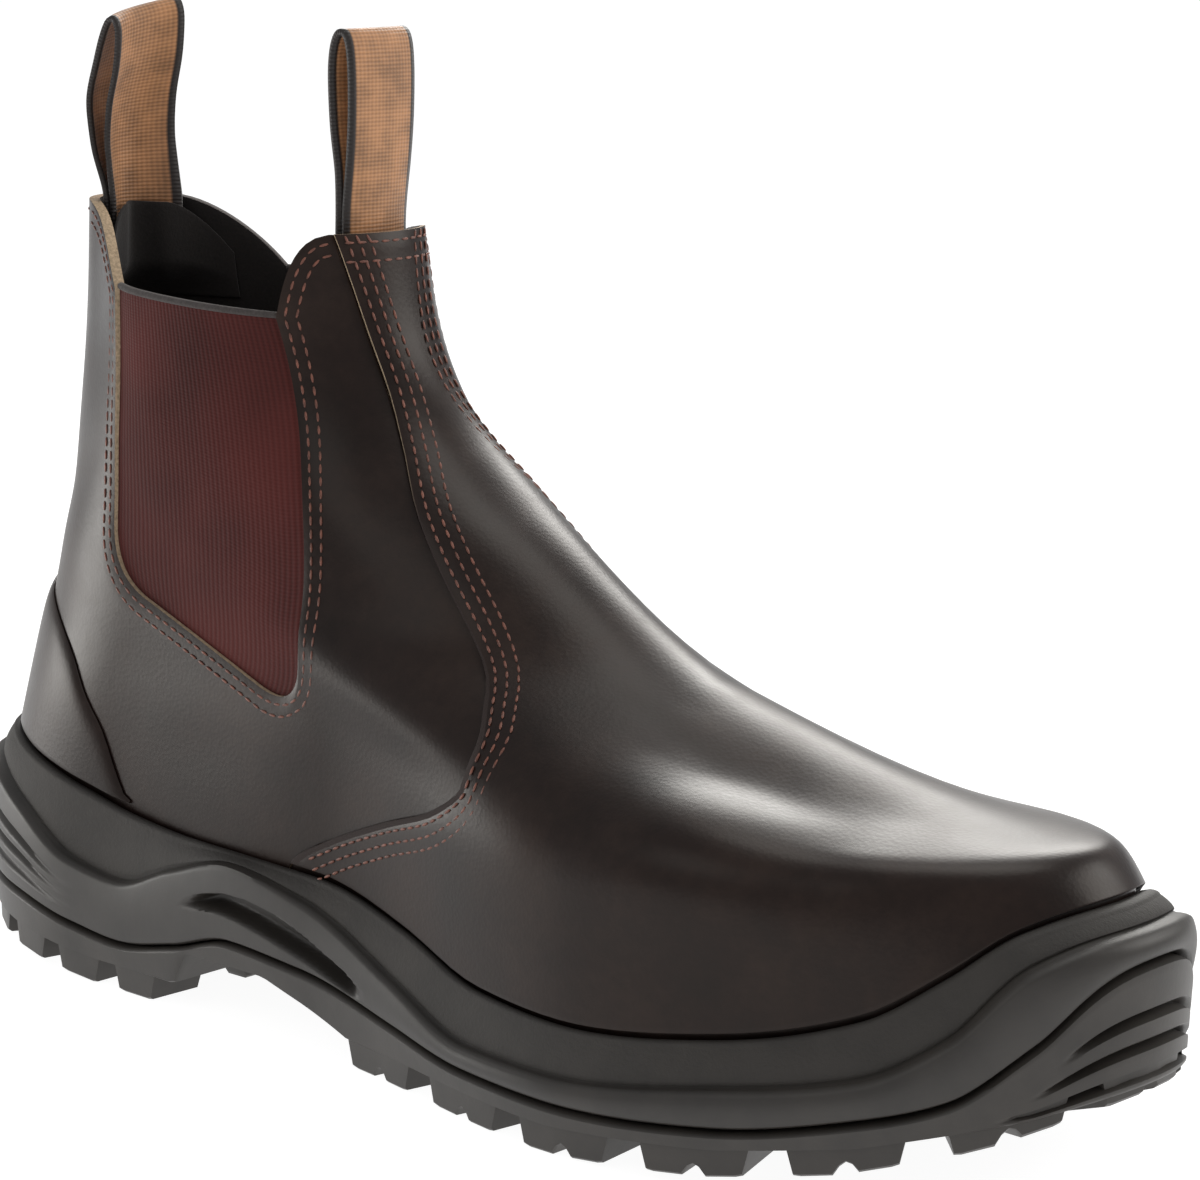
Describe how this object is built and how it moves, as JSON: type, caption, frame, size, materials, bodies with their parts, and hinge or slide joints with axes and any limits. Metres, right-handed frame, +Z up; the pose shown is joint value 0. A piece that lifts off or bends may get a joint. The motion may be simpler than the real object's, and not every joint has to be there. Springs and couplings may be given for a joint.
{
  "type": "pull-on boot",
  "caption": "Ankle-high pull-on work boot in dark brown leather with elastic side gores, tape pull loops and a moulded lug sole.",
  "frame": {"origin": "on the ground under the centre of the boot's box", "axes": "+X towards the toe, -Y towards the outer side of the foot, +Z up"},
  "size_m": [0.303, 0.1068, 0.2078],
  "materials": {
    "outsole": "moulded rubber, matt",
    "midsole": "moulded polyurethane, fine grain",
    "insole": "felted fabric",
    "upper": "oiled full grain leather, semi-gloss",
    "vamp": "oiled full grain leather, semi-gloss",
    "heel_counter": "oiled full grain leather, semi-gloss",
    "gore_lateral": "woven elastic, ribbed",
    "gore_medial": "woven elastic, ribbed",
    "pull_loop_back": "woven tape",
    "pull_loop_front": "woven tape"
  },
  "bodies": {
    "root": {"outsole": "outsole", "midsole": "midsole", "insole": "insole", "upper": "upper", "vamp": "vamp", "heel_counter": "heel_counter", "gore_lateral": "gore_lateral", "gore_medial": "gore_medial", "pull_loop_back": "pull_loop_back", "pull_loop_front": "pull_loop_front"}
  },
  "joints": []
}
